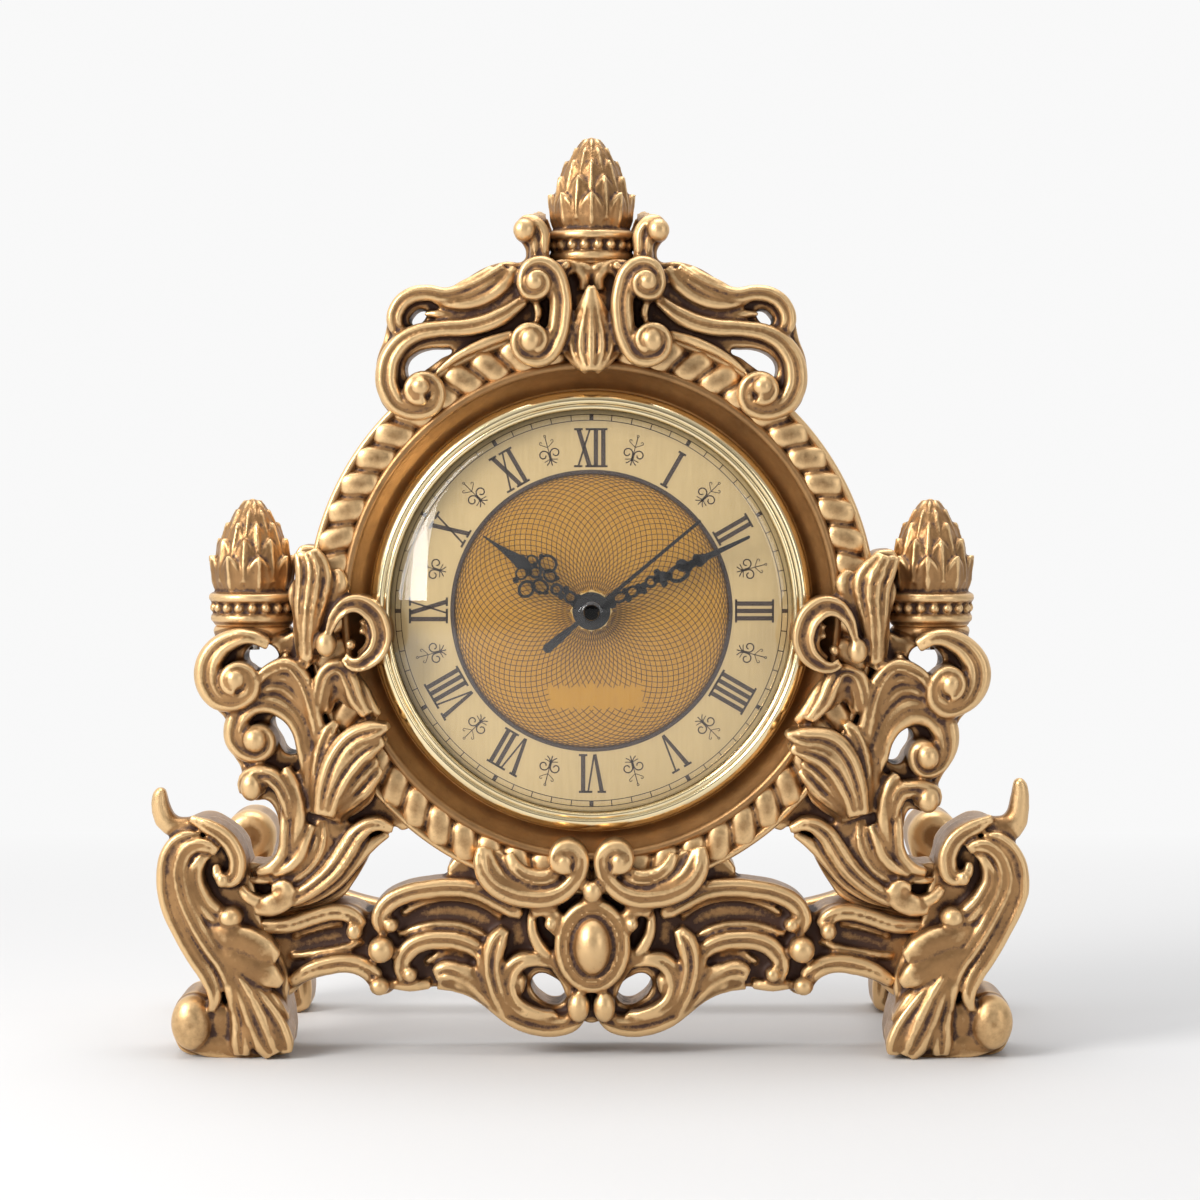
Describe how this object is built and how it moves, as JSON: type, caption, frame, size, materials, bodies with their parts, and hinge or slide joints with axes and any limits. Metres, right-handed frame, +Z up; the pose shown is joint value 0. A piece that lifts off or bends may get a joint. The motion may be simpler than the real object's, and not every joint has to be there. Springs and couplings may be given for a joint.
{
  "type": "mantel clock",
  "caption": "Mantel clock in a pierced baroque scrollwork casting with pine-cone finials and a rope ring round a quartz insert with a domed lens and pierced hands.",
  "frame": {"origin": "centre of the clock's box on the shelf plane, under the dial axis in width", "axes": "+Z up, the dial faces -Y, +X to the right of someone who looks at the dial"},
  "size_m": [0.206, 0.084, 0.215],
  "materials": {
    "antique_gold": "antique gold over a casting, dark patina in the recesses",
    "polished_gold": "polished and lacquered pale gold",
    "clear_lens": "clear, polished",
    "printed_dial": "pale champagne with dark print",
    "black_hands": "matt black",
    "cup_shell": "gold-washed pressed steel",
    "grip_rubber": "soft black",
    "case_plastic": "fine grained black",
    "bright_steel": "bright zinc",
    "plain_brass": "turned",
    "battery_jacket": "plain printed jacket",
    "board_green": "solder resist",
    "copper_wire": "enamelled copper wire",
    "gear_plastic": "moulded acetal"
  },
  "bodies": {
    "clock": {"front_casting": "antique_gold", "rear_stand": "antique_gold", "stand_screws": "bright_steel", "finial_centre": "antique_gold", "finial_left": "antique_gold", "finial_right": "antique_gold", "finial_pins": "bright_steel", "insert_cup": "cup_shell", "grip_ring": "grip_rubber", "bezel": "polished_gold", "lens": "clear_lens", "dial": "printed_dial", "dial_washer": "bright_steel", "hex_nut": "plain_brass", "movement_case": "case_plastic", "movement_cover": "case_plastic", "battery": "battery_jacket", "positive_contact": "bright_steel", "negative_contact": "bright_steel", "circuit_board": "board_green", "quartz_crystal": "bright_steel", "coil": "copper_wire", "stator": "bright_steel", "train_plate": "case_plastic"},
    "seconds": {"second_wheel": "gear_plastic", "second_hand": "black_hands", "hub_cap": "black_hands"},
    "intermediate": {"intermediate_wheel": "gear_plastic"},
    "motor_rotor": {"rotor": "gear_plastic"},
    "third": {"third_wheel": "gear_plastic"},
    "centre": {"centre_wheel": "gear_plastic"},
    "minutes": {"cannon_pinion": "gear_plastic", "minute_hand": "black_hands"},
    "motion_work": {"minute_wheel": "gear_plastic"},
    "hours": {"hour_wheel": "gear_plastic", "hour_hand": "black_hands"},
    "hand_setting": {"setting_knob": "case_plastic"}
  },
  "joints": [
    {"name": "second_spin", "type": "hinge", "parent": "clock", "child": "seconds", "pos_m": [0, 0, 0.10389], "axis": [0, 1, 0], "continuous": true},
    {"name": "intermediate_spin", "type": "hinge", "parent": "clock", "child": "intermediate", "pos_m": [0.00423, 0, 0.11183], "axis": [0, 1, 0], "continuous": true},
    {"name": "rotor_spin", "type": "hinge", "parent": "clock", "child": "motor_rotor", "pos_m": [0.0051, 0, 0.12019], "axis": [0, 1, 0], "continuous": true},
    {"name": "third_spin", "type": "hinge", "parent": "clock", "child": "third", "pos_m": [-0.0097, 0, 0.10704], "axis": [0, 1, 0], "continuous": true},
    {"name": "centre_spin", "type": "hinge", "parent": "clock", "child": "centre", "pos_m": [0, 0, 0.10389], "axis": [0, 1, 0], "continuous": true},
    {"name": "minute_spin", "type": "hinge", "parent": "clock", "child": "minutes", "pos_m": [0, 0, 0.10389], "axis": [0, 1, 0], "continuous": true},
    {"name": "motion_work_spin", "type": "hinge", "parent": "clock", "child": "motion_work", "pos_m": [0.00742, 0, 0.10089], "axis": [0, 1, 0], "continuous": true},
    {"name": "hour_spin", "type": "hinge", "parent": "clock", "child": "hours", "pos_m": [0, 0, 0.10389], "axis": [0, 1, 0], "continuous": true},
    {"name": "knob_spin", "type": "hinge", "parent": "clock", "child": "hand_setting", "pos_m": [0.01542, 0, 0.10089], "axis": [0, 1, 0], "continuous": true}
  ],
  "couplings": [
    {"joint": "intermediate_spin", "follows": "second_spin", "ratio": -5},
    {"joint": "rotor_spin", "follows": "second_spin", "ratio": 30},
    {"joint": "third_spin", "follows": "second_spin", "ratio": -0.13333},
    {"joint": "centre_spin", "follows": "second_spin", "ratio": 0.016667},
    {"joint": "motion_work_spin", "follows": "minute_spin", "ratio": -0.33333},
    {"joint": "hour_spin", "follows": "minute_spin", "ratio": 0.083333},
    {"joint": "knob_spin", "follows": "minute_spin", "ratio": 1}
  ]
}
